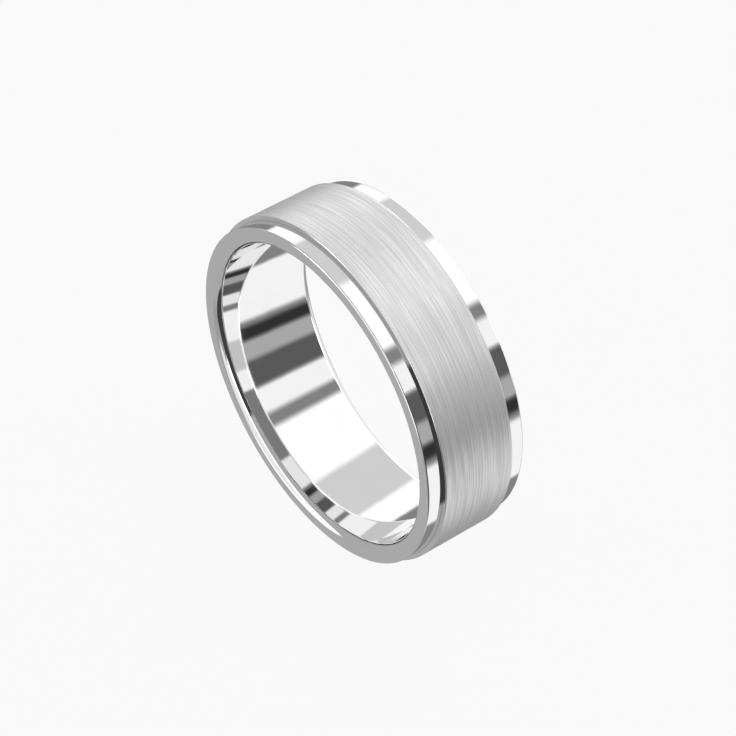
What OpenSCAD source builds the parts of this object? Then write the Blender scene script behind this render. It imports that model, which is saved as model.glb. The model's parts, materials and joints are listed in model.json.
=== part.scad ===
// Flat wedding band with a raised, brushed centre and two polished, stepped shoulders.
// The finger axis lies along Y, the band stands upright on its tread, and the origin is
// the centre of the bore. Millimetres, +Z up.

/* [Finger bore] */
// Diameter of the bore at its narrowest, in the middle of the band
bore_d = 19.2; // [15:0.1:23]
// Length of the plain cylindrical land in the middle of the bore
land_w = 0.4; // [0.2:0.1:2]
// Radius of the comfort-fit curve that opens the bore towards each end
comfort_r = 28; // [24:1:60]
// Rounding where the bore meets each end face
mouth_r = 0.55; // [0.3:0.05:0.6]

/* [Polished band] */
// Width of the whole band along the finger
band_w = 7; // [6:0.1:8]
// Wall thickness of the band at its polished shoulders
shoulder_t = 1.3; // [1.2:0.05:1.8]
// Rounding of the outer corner of each shoulder
shoulder_r = 0.1; // [0.05:0.05:0.25]

/* [Brushed centre] */
// Width of the raised brushed centre
centre_w = 4.9; // [3:0.1:5.4]
// Height of the step from a shoulder up to the brushed centre
step_h = 0.3; // [0.2:0.05:0.8]
// Rounding of the two outer edges of the brushed centre
centre_r = 0.06; // [0.02:0.01:0.1]
// Thickness of the solder that holds the centre sleeve on the band
solder_t = 0.05; // [0.03:0.01:0.08]

/* [Hidden] */
bore_radius = bore_d / 2;
shoulder_radius = bore_radius + shoulder_t;
solder_radius = shoulder_radius + solder_t;
centre_radius = shoulder_radius + step_h;

// Centre of the comfort-fit curve, seen in the cross-section as [radius, distance along Y].
comfort_centre = [bore_radius + comfort_r, land_w / 2];

// Centre of the mouth rounding, which touches both the comfort-fit curve and the end face.
mouth_y = band_w / 2 - mouth_r;
mouth_rise = mouth_y - comfort_centre[1];
mouth_centre = [
    comfort_centre[0] - sqrt(pow(comfort_r - mouth_r, 2) - pow(mouth_rise, 2)),
    mouth_y
];

$fn = 180;

// Turns a cross-section about the finger axis. In a cross-section X is the distance from
// that axis, and Y is the distance along it.
module turned() {
    rotate([90, 0, 0])
        rotate_extrude($fn = 360)
            children();
}

// A strip of the cross-section between two radii, centred on the middle of the band.
module strip(inner_radius, outer_radius, width) {
    translate([inner_radius, -width / 2])
        square([outer_radius - inner_radius, width]);
}

// What a rounding takes off the outer corner at [radius, end], on both ends of a strip.
module outer_corners(radius, end, rounding) {
    for (side = [0, 1])
        mirror([0, side])
            difference() {
                translate([radius - rounding, end - rounding])
                    square(2 * rounding);
                translate([radius - rounding, end - rounding])
                    circle(r = rounding);
            }
}

// The curved side of the bore: everything on the metal side of the comfort-fit curve,
// from the land out past one end of the band.
module comfort_side() {
    intersection() {
        translate(comfort_centre)
            circle(r = comfort_r);
        translate([0, comfort_centre[1]])
            square([shoulder_radius, band_w]);
    }
}

// What the mouth rounding takes off between the end face and the comfort-fit curve.
module mouth_corner() {
    reach = 2 * mouth_r;
    toward_curve = (mouth_centre - comfort_centre) / (comfort_r - mouth_r);
    difference() {
        polygon([
            mouth_centre,
            mouth_centre + reach * toward_curve,
            mouth_centre + [-reach, reach],
            mouth_centre + [0, reach]
        ]);
        translate(mouth_centre)
            circle(r = mouth_r);
    }
}

// Polished band: comfort-fit bore, flat end faces and both polished shoulders in one ring.
module inner_band() {
    color([0.86, 0.86, 0.87])
        turned()
            difference() {
                intersection() {
                    strip(0, shoulder_radius, band_w);
                    union() {
                        strip(bore_radius, shoulder_radius, land_w);
                        for (side = [0, 1])
                            mirror([0, side])
                                comfort_side();
                    }
                }
                for (side = [0, 1])
                    mirror([0, side])
                        mouth_corner();
                outer_corners(shoulder_radius, band_w / 2, shoulder_r);
            }
}

// Thin sleeve of solder between the band and the brushed sleeve.
module solder_film() {
    color([0.7, 0.7, 0.71])
        turned()
            strip(shoulder_radius, solder_radius, centre_w);
}

// Raised brushed sleeve, with both outer edges broken.
module centre_sleeve() {
    color([0.76, 0.76, 0.77])
        turned()
            difference() {
                strip(solder_radius, centre_radius, centre_w);
                outer_corners(centre_radius, centre_w / 2, centre_r);
            }
}

inner_band();
solder_film();
centre_sleeve();
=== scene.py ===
"""Flat wedding band: a polished white-metal band with a raised, brushed centre.

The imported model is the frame. Each of its nodes is replaced by a finely turned mesh of the
same size, so that mirror-like reflections come out clean. Metres, +Y along the finger axis,
+Z up, and the band stands upright on its tread.
"""

import json
import math

import bpy
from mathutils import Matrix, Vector


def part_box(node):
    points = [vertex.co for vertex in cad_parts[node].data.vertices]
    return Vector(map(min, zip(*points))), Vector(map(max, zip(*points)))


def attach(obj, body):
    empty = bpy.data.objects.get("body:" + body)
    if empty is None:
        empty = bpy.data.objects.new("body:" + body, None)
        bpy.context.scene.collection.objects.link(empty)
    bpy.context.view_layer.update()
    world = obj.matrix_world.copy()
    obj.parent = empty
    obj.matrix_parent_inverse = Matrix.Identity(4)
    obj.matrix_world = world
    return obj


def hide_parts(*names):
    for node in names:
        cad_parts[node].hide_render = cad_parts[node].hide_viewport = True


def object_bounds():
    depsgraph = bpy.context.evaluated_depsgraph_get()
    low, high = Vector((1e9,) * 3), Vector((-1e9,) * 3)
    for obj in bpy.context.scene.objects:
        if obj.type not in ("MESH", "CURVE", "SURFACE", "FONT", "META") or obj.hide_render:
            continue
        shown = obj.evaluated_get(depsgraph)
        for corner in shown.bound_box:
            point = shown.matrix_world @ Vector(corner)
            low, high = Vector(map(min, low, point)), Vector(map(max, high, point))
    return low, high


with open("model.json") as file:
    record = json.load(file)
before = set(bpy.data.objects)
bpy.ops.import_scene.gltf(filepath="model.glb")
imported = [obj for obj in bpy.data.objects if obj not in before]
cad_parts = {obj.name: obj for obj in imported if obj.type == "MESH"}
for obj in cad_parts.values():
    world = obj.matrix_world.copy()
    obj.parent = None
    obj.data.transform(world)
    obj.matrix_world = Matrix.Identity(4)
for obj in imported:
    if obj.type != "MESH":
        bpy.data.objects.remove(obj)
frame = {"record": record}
cad_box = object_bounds()

MM = 0.001

# ---------------------------------------------------------------- sizes from the frame

bore_mount = next(m for m in frame["record"]["mounts"] if m["name"] == "finger_bore")
BORE_RADIUS = bore_mount["dims"]["r_mm"] * MM
LAND_END = bore_mount["dims"]["length_mm"] * MM / 2
SHOULDER_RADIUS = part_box("inner_band")[1].x
BAND_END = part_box("inner_band")[1].y
SOLDER_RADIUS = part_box("solder_film")[1].x
CENTRE_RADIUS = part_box("centre_sleeve")[1].x
CENTRE_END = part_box("centre_sleeve")[1].y

# Roundings of the cross-section, as on the CAD solids.
COMFORT_R = 28 * MM
MOUTH_R = 0.55 * MM
SHOULDER_R = 0.1 * MM
CENTRE_R = 0.06 * MM

TURNING_STEPS = 480

# Points of the cross-section closer than this are one point.
SAME_POINT = 1e-6 * MM

# ---------------------------------------------------------------- camera

CAMERA_AZIMUTH = 52.34
CAMERA_ELEVATION = 43.40
CAMERA_LENS_MM = 145.6
SENSOR_MM = 36
CAMERA_DISTANCE = 15.77 * CENTRE_RADIUS
# How far the middle of the bore lies left of and below the middle of the picture.
BORE_LEFT = 0.0421 * CENTRE_RADIUS
BORE_BELOW = 0.0266 * CENTRE_RADIUS


def camera_axes():
    """Right, up and back of a level camera at the chosen azimuth and elevation."""
    a = math.radians(CAMERA_AZIMUTH)
    e = math.radians(CAMERA_ELEVATION)
    back = Vector((math.sin(a) * math.cos(e), -math.cos(a) * math.cos(e), math.sin(e)))
    right = Vector((math.cos(a), math.sin(a), 0))
    return right, back.cross(right), back


def make_camera():
    right, up, back = camera_axes()
    data = bpy.data.cameras.new("camera")
    data.lens = CAMERA_LENS_MM
    data.sensor_width = SENSOR_MM
    data.clip_start = 0.01
    data.clip_end = 10
    camera = bpy.data.objects.new("camera", data)
    camera.location = BORE_LEFT * right + BORE_BELOW * up + CAMERA_DISTANCE * back
    camera.rotation_mode = "QUATERNION"
    camera.rotation_quaternion = (-back).to_track_quat("-Z", "Y")
    bpy.context.scene.collection.objects.link(camera)
    bpy.context.scene.camera = camera


# ---------------------------------------------------------------- node helpers


def new_node(tree, kind, inputs=(), **settings):
    """Adds a node, sets its properties, and links or sets its inputs in order."""
    node = tree.nodes.new(kind)
    for name, value in settings.items():
        setattr(node, name, value)
    for socket, value in zip(node.inputs, inputs):
        if isinstance(value, bpy.types.NodeSocket):
            tree.links.new(value, socket)
        elif value is not None:
            socket.default_value = value
    return node


def math_node(tree, operation, *inputs):
    return new_node(tree, "ShaderNodeMath", inputs, operation=operation).outputs[0]


def smooth_step(tree, value, start, end, low=0.0, high=1.0):
    """Goes smoothly from low at start to high at end."""
    node = new_node(
        tree, "ShaderNodeMapRange", (value, start, end, low, high), interpolation_type="SMOOTHSTEP"
    )
    return node.outputs[0]


# ---------------------------------------------------------------- studio light
#
# Plain soft light from a tent of broad soft boxes and dark flags, which run along the finger
# axis. Angles are in degrees: round that axis from straight up towards +X, and rise from
# square to the axis towards +Y. Brightness is on the display's scale, where 1 is white, as
# it shows in the polished metal.

METAL_REFLECTANCE = 0.87
DISPLAY_GAMMA = 2.2
BACKDROP = 0.956

# How softly each panel ends at its two sides, and how softly the parts of the tent meet.
SOFT_EDGE = 3.0
MEETING = 5.0

# A panel is (start, end, brightness), in angle round the axis, and lies over those before it.
# The middle of the tent, beyond the band, which the polished shoulders and the bore mirror.
MIDDLE_WALL = 0.50
MIDDLE_PANELS = (
    (-90, 35, 1.00),  # overhead soft box
    (-60, -15, 0.80),  # grey umbrella in front of it
    (45, 65, 0.95),  # side soft box
    (65, 85, 0.35),  # grey flag
    (85, 100, 0.65),  # pale cloth
    (100, 110, 0.20),  # dark flag
    (115, 165, 0.95),  # low soft box
)

# The near side, which the end faces, the step walls and the small roundings mirror.
NEAR_WALL = 0.65
NEAR_PANELS = (
    (50, 150, 0.25),  # dark flag
)

# Both ends, which only the brushed metal picks up.
END_WALL = 0.60
END_PANELS = (
    (-140, 105, 1.10),  # pale cloth
    (-100, -50, 1.60),  # left lamp
    (45, 105, 1.40),  # right lamp
)

# Limits of rise between the parts of the tent, and the round panels that close its two ends.
NEAR_BOTTOM = -45.0
NEAR_TOP = 10.0
MIDDLE_TOP = 45.0
CLOSING_PANEL_RISE = 60.0
CLOSING_PANEL = 0.90


def lay_panel(tree, around, under, start, end, brightness):
    """Lays one panel over the brightness under it."""
    offset = math_node(tree, "SUBTRACT", around, (start + end) / 2)
    inside = math_node(tree, "SUBTRACT", (end - start) / 2, math_node(tree, "ABSOLUTE", offset))
    cover = smooth_step(tree, inside, -SOFT_EDGE, SOFT_EDGE)
    change = math_node(tree, "SUBTRACT", brightness, under)
    return math_node(tree, "MULTIPLY_ADD", change, cover, under)


def tent_part(tree, around, wall, panels):
    """The brightness of one part of the tent: its wall, with its panels laid over it."""
    light = wall
    for start, end, brightness in panels:
        light = lay_panel(tree, around, light, start, end, brightness)
    return light


def join(tree, below, above, rise, limit):
    """One part's brightness below a limit of rise, and another's above it."""
    share = smooth_step(tree, rise, limit - MEETING / 2, limit + MEETING / 2)
    change = math_node(tree, "SUBTRACT", above, below)
    return math_node(tree, "MULTIPLY_ADD", change, share, below)


def make_tent():
    """World light: the tent for the metal, and a plain pale backdrop for the camera."""
    world = bpy.data.worlds.new("tent")
    bpy.context.scene.world = world
    world.use_nodes = True
    world.cycles.sampling_method = "NONE"
    tree = world.node_tree
    tree.nodes.clear()
    direction = new_node(tree, "ShaderNodeTexCoord").outputs["Generated"]
    parts = new_node(tree, "ShaderNodeSeparateXYZ", (direction,)).outputs
    around = math_node(tree, "DEGREES", math_node(tree, "ARCTAN2", parts[0], parts[2]))
    rise = math_node(tree, "DEGREES", math_node(tree, "ARCSINE", parts[1]))
    ends = tent_part(tree, around, END_WALL, END_PANELS)
    near = tent_part(tree, around, NEAR_WALL, NEAR_PANELS)
    middle = tent_part(tree, around, MIDDLE_WALL, MIDDLE_PANELS)
    light = join(tree, ends, near, rise, NEAR_BOTTOM)
    light = join(tree, light, middle, rise, NEAR_TOP)
    light = join(tree, light, ends, rise, MIDDLE_TOP)
    light = join(tree, light, CLOSING_PANEL, rise, CLOSING_PANEL_RISE)
    light = join(tree, CLOSING_PANEL, light, rise, -CLOSING_PANEL_RISE)
    light = math_node(tree, "POWER", light, DISPLAY_GAMMA)
    light = math_node(tree, "DIVIDE", light, METAL_REFLECTANCE)
    tent = new_node(tree, "ShaderNodeBackground", ((1, 1, 1, 1), light))
    backdrop = new_node(tree, "ShaderNodeBackground", ((BACKDROP, BACKDROP, BACKDROP, 1), 1.0))
    seen = new_node(tree, "ShaderNodeLightPath").outputs["Is Camera Ray"]
    mix = new_node(tree, "ShaderNodeMixShader", (seen, tent.outputs[0], backdrop.outputs[0]))
    new_node(tree, "ShaderNodeOutputWorld", (mix.outputs[0],))


# ---------------------------------------------------------------- floor

FLOOR_RADIUS = 1.2
FLOOR_SIDES = 64
FLOOR_GLOW = 0.93
FLOOR_PAINT = 0.03


def make_floor():
    """Pale floor under the band. It mostly glows, so the band leaves only a faint shadow."""
    bpy.ops.mesh.primitive_circle_add(
        vertices=FLOOR_SIDES, radius=FLOOR_RADIUS, fill_type="NGON", location=(0, 0, cad_box[0].z)
    )
    floor = bpy.context.object
    floor.name = "floor"
    material = bpy.data.materials.new("pale_floor")
    material.use_nodes = True
    tree = material.node_tree
    tree.nodes.clear()
    paint = new_node(tree, "ShaderNodeBsdfDiffuse", ((FLOOR_PAINT, FLOOR_PAINT, FLOOR_PAINT, 1),))
    glow = new_node(tree, "ShaderNodeEmission", ((1, 1, 1, 1), FLOOR_GLOW))
    both = new_node(tree, "ShaderNodeAddShader", (paint.outputs[0], glow.outputs[0]))
    new_node(tree, "ShaderNodeOutputMaterial", (both.outputs[0],))
    floor.data.materials.append(material)
    floor.visible_glossy = False
    floor.visible_shadow = False
    floor.visible_diffuse = False


# ---------------------------------------------------------------- metals


def metal(name, colour, roughness, anisotropic=0.0):
    """A bare metal material. Returns the material, its node tree and its shader."""
    material = bpy.data.materials.new(name)
    material.use_nodes = True
    tree = material.node_tree
    shader = tree.nodes["Principled BSDF"]
    shader.inputs["Metallic"].default_value = 1.0
    shader.inputs["Base Color"].default_value = (*colour, 1)
    shader.inputs["Roughness"].default_value = roughness
    shader.inputs["Anisotropic"].default_value = anisotropic
    return material, tree, shader


def noise(tree, scale, detail, stretch=(1, 1, 1)):
    """Noise from 0 to 1 in the band's own coordinates. Scale is in features per metre."""
    place = new_node(tree, "ShaderNodeTexCoord").outputs["Object"]
    stretched = new_node(tree, "ShaderNodeVectorMath", (place, stretch), operation="MULTIPLY")
    texture = new_node(tree, "ShaderNodeTexNoise")
    tree.links.new(stretched.outputs[0], texture.inputs["Vector"])
    texture.inputs["Scale"].default_value = scale
    texture.inputs["Detail"].default_value = detail
    return texture.outputs[0]


def tint(tree, shader, value, dark, light):
    """Runs the colour from dark to light with a value from 0 to 1."""
    mix = new_node(tree, "ShaderNodeMix", data_type="RGBA")
    tree.links.new(value, mix.inputs["Factor"])
    ends = [socket for socket in mix.inputs if socket.type == "RGBA"]
    ends[0].default_value = (*dark, 1)
    ends[1].default_value = (*light, 1)
    output = next(socket for socket in mix.outputs if socket.type == "RGBA")
    tree.links.new(output, shader.inputs["Base Color"])


def bump(tree, shader, height, depth):
    node = new_node(tree, "ShaderNodeBump")
    node.inputs["Distance"].default_value = depth
    tree.links.new(height, node.inputs["Height"])
    tree.links.new(node.outputs[0], shader.inputs["Normal"])


def make_polished():
    material, tree, shader = metal("polished_white_metal", (0.87, 0.87, 0.87), 0.03)
    haze = noise(tree, 900, 3)
    tint(tree, shader, haze, (0.85, 0.85, 0.85), (0.89, 0.89, 0.89))
    tree.links.new(smooth_step(tree, haze, 0.3, 0.7, 0.015, 0.05), shader.inputs["Roughness"])
    return material


def make_solder():
    material, tree, shader = metal("white_solder", (0.70, 0.70, 0.71), 0.12)
    grain = noise(tree, 6000, 2)
    tint(tree, shader, grain, (0.62, 0.62, 0.63), (0.76, 0.76, 0.77))
    return material


# How much finer the brushing is along the finger axis than round the band.
HAIRLINE_STRETCH = (1, 80, 1)
SCRATCH_STRETCH = (1, 120, 1)
HAIRLINE_SCALE = 200
SCRATCH_SCALE = 100

BRUSH_ROUGHNESS = 0.50
BRUSH_SPREAD = 0.03
BRUSH_DARK = (0.80, 0.80, 0.80)
BRUSH_LIGHT = (0.95, 0.95, 0.95)
SCRATCH_DEPTH = 0.002 * MM


def make_brushed():
    """Brushed round the band: hairlines of uneven length and a few deeper scratches."""
    material, tree, shader = metal("brushed_white_metal", BRUSH_LIGHT, BRUSH_ROUGHNESS, 0.5)
    shader.inputs["Anisotropic Rotation"].default_value = 0.25
    tangent = new_node(tree, "ShaderNodeTangent", direction_type="RADIAL", axis="Y")
    tree.links.new(tangent.outputs[0], shader.inputs["Tangent"])
    hairlines = smooth_step(tree, noise(tree, HAIRLINE_SCALE, 2, HAIRLINE_STRETCH), 0.42, 0.58)
    scratches = smooth_step(tree, noise(tree, SCRATCH_SCALE, 1, SCRATCH_STRETCH), 0.62, 0.68)
    lines = math_node(tree, "SUBTRACT", hairlines, scratches)
    tint(tree, shader, lines, BRUSH_DARK, BRUSH_LIGHT)
    smoothest = BRUSH_ROUGHNESS - BRUSH_SPREAD
    roughest = BRUSH_ROUGHNESS + BRUSH_SPREAD
    rough = smooth_step(tree, lines, 0, 1, roughest, smoothest)
    tree.links.new(rough, shader.inputs["Roughness"])
    bump(tree, shader, lines, SCRATCH_DEPTH)
    return material


# ---------------------------------------------------------------- turned shapes
#
# A cross-section is a closed run of stretches. Each stretch is a list of points with their
# outward normals: ((radius, along), (radial, axial)).


def arc(centre, radius, start, end, steps):
    """A rounding, in degrees from straight out towards +Y."""
    stretch = []
    for i in range(steps + 1):
        angle = math.radians(start + (end - start) * i / steps)
        normal = (math.cos(angle), math.sin(angle))
        point = (centre[0] + radius * normal[0], centre[1] + radius * normal[1])
        stretch.append((point, normal))
    return stretch


def line(start, end, normal, steps=1):
    stretch = []
    for i in range(steps + 1):
        share = i / steps
        point = (start[0] + (end[0] - start[0]) * share, start[1] + (end[1] - start[1]) * share)
        stretch.append((point, normal))
    return stretch


def mirrored(stretches):
    """The same stretches at the other end of the band, run the other way."""
    return [
        [((r, -y), (out, -along)) for (r, y), (out, along) in reversed(stretch)]
        for stretch in reversed(stretches)
    ]


def turned(name, stretches, materials, pick=None):
    """Turns a closed cross-section about the finger axis, with exact normals."""
    sections = []
    for stretch in stretches:
        for first, second in zip(stretch, stretch[1:]):
            if math.dist(first[0], second[0]) > SAME_POINT:
                sections.append((first, second))
    rings = len(sections)
    corners = [
        (math.sin(math.tau * i / TURNING_STEPS), math.cos(math.tau * i / TURNING_STEPS))
        for i in range(TURNING_STEPS)
    ]
    points = [(r * s, y, r * c) for s, c in corners for ((r, y), _), _ in sections]
    faces = []
    normals = []
    slots = []
    for i, here in enumerate(corners):
        following = (i + 1) % TURNING_STEPS
        there = corners[following]
        for k, (first, second) in enumerate(sections):
            after = (k + 1) % rings
            this_ring = i * rings
            next_ring = following * rings
            faces.append((this_ring + k, this_ring + after, next_ring + after, next_ring + k))
            for end, turn in ((first, here), (second, here), (second, there), (first, there)):
                out, along = end[1]
                normals.append((out * turn[0], along, out * turn[1]))
            slots.append(pick(first, second) if pick else 0)
    mesh = bpy.data.meshes.new(name)
    mesh.from_pydata(points, [], faces)
    for material in materials:
        mesh.materials.append(material)
    mesh.polygons.foreach_set("material_index", slots)
    mesh.polygons.foreach_set("use_smooth", [True] * len(faces))
    mesh.normals_split_custom_set(normals)
    mesh.validate()
    mesh.update()
    piece = bpy.data.objects.new(name, mesh)
    bpy.context.scene.collection.objects.link(piece)
    return piece


def band_stretches():
    """The band from the middle of the bore, round the +Y end, to the middle of the tread."""
    comfort_centre = (BORE_RADIUS + COMFORT_R, LAND_END)
    mouth_y = BAND_END - MOUTH_R
    mouth_rise = mouth_y - LAND_END
    reach = COMFORT_R - MOUTH_R
    mouth_centre = (comfort_centre[0] - math.sqrt(reach**2 - mouth_rise**2), mouth_y)
    touch = math.degrees(math.atan2(mouth_rise, mouth_centre[0] - comfort_centre[0]))
    corner = (SHOULDER_RADIUS - SHOULDER_R, BAND_END - SHOULDER_R)
    return [
        line((BORE_RADIUS, 0), (BORE_RADIUS, LAND_END), (-1, 0)),
        arc(comfort_centre, COMFORT_R, 180, touch, 20),
        arc(mouth_centre, MOUTH_R, touch, 90, 24),
        line((mouth_centre[0], BAND_END), (corner[0], BAND_END), (0, 1), steps=2),
        arc(corner, SHOULDER_R, 90, 0, 10),
        line((SHOULDER_RADIUS, corner[1]), (SHOULDER_RADIUS, CENTRE_END), (1, 0), steps=3),
        line((SHOULDER_RADIUS, CENTRE_END), (SHOULDER_RADIUS, 0), (1, 0), steps=2),
    ]


def film_stretches():
    return [
        line((SHOULDER_RADIUS, 0), (SHOULDER_RADIUS, CENTRE_END), (-1, 0)),
        line((SHOULDER_RADIUS, CENTRE_END), (SOLDER_RADIUS, CENTRE_END), (0, 1)),
        line((SOLDER_RADIUS, CENTRE_END), (SOLDER_RADIUS, 0), (1, 0)),
    ]


def sleeve_stretches():
    corner = (CENTRE_RADIUS - CENTRE_R, CENTRE_END - CENTRE_R)
    return [
        line((SOLDER_RADIUS, 0), (SOLDER_RADIUS, CENTRE_END), (-1, 0)),
        line((SOLDER_RADIUS, CENTRE_END), (corner[0], CENTRE_END), (0, 1), steps=2),
        arc(corner, CENTRE_R, 90, 0, 8),
        line((CENTRE_RADIUS, corner[1]), (CENTRE_RADIUS, 0), (1, 0), steps=4),
    ]


def both_ends(stretches):
    """Closes a half cross-section, listed from the bore round to the tread."""
    return stretches + mirrored(stretches)


def sleeve_material(first, second):
    """0, brushed, on the tread, and 1, polished, on the step walls and their roundings."""
    tread_depth = 0.1 * CENTRE_R
    brushed = min(first[0][0], second[0][0]) > CENTRE_RADIUS - tread_depth
    return 0 if brushed else 1


def place(piece, node, slot):
    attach(piece, "root")
    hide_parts(node)


def make_band():
    polished = make_polished()
    brushed = make_brushed()
    solder = make_solder()
    place(
        turned("polished_band", both_ends(band_stretches()), [polished]),
        "inner_band",
        "polished_band",
    )
    place(
        turned("solder_line", both_ends(film_stretches()), [solder]),
        "solder_film",
        "solder",
    )
    place(
        turned("brushed_centre", both_ends(sleeve_stretches()), [brushed, polished], sleeve_material),
        "centre_sleeve",
        "brushed_centre",
    )


make_camera()
make_tent()
make_floor()
make_band()

scene = bpy.context.scene
scene.view_settings.view_transform = "Standard"
